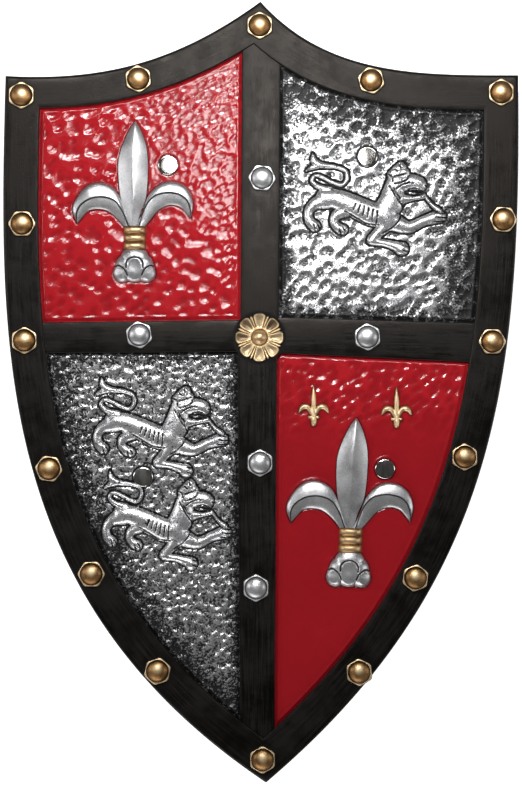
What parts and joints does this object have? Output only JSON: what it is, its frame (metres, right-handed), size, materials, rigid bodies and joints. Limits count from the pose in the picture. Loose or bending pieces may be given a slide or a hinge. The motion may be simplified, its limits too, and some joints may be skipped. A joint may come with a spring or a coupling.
{
  "type": "heater shield",
  "caption": "Flat heater shield moulded in painted foam: studded black border and cross, hammered red and silver quarters with fleurs-de-lis and lions, carried by riveted straps.",
  "frame": {"origin": "on the surface the shield lies on, under the middle of its box", "axes": "+Y towards the top edge of the shield, +Z out of its face, +X to the right of someone who looks at the face"},
  "size_m": [0.4025, 0.61, 0.0575],
  "materials": {
    "black_foam": "satin black paint over moulded foam",
    "red_paint": "glossy red paint over a hammered surface",
    "silver_paint": "silver paint rubbed over black on a hammered surface",
    "gold_paint": "satin antique gold paint",
    "nickel": "polished nickel plate",
    "black_webbing": "woven black webbing"
  },
  "bodies": {
    "root": {"shield_body": "black_foam", "hand_strap": "black_webbing", "forearm_strap": "black_webbing", "rivet_upper_left": "nickel", "rivet_upper_right": "nickel", "rivet_lower_left": "nickel", "rivet_lower_right": "nickel"}
  },
  "joints": []
}
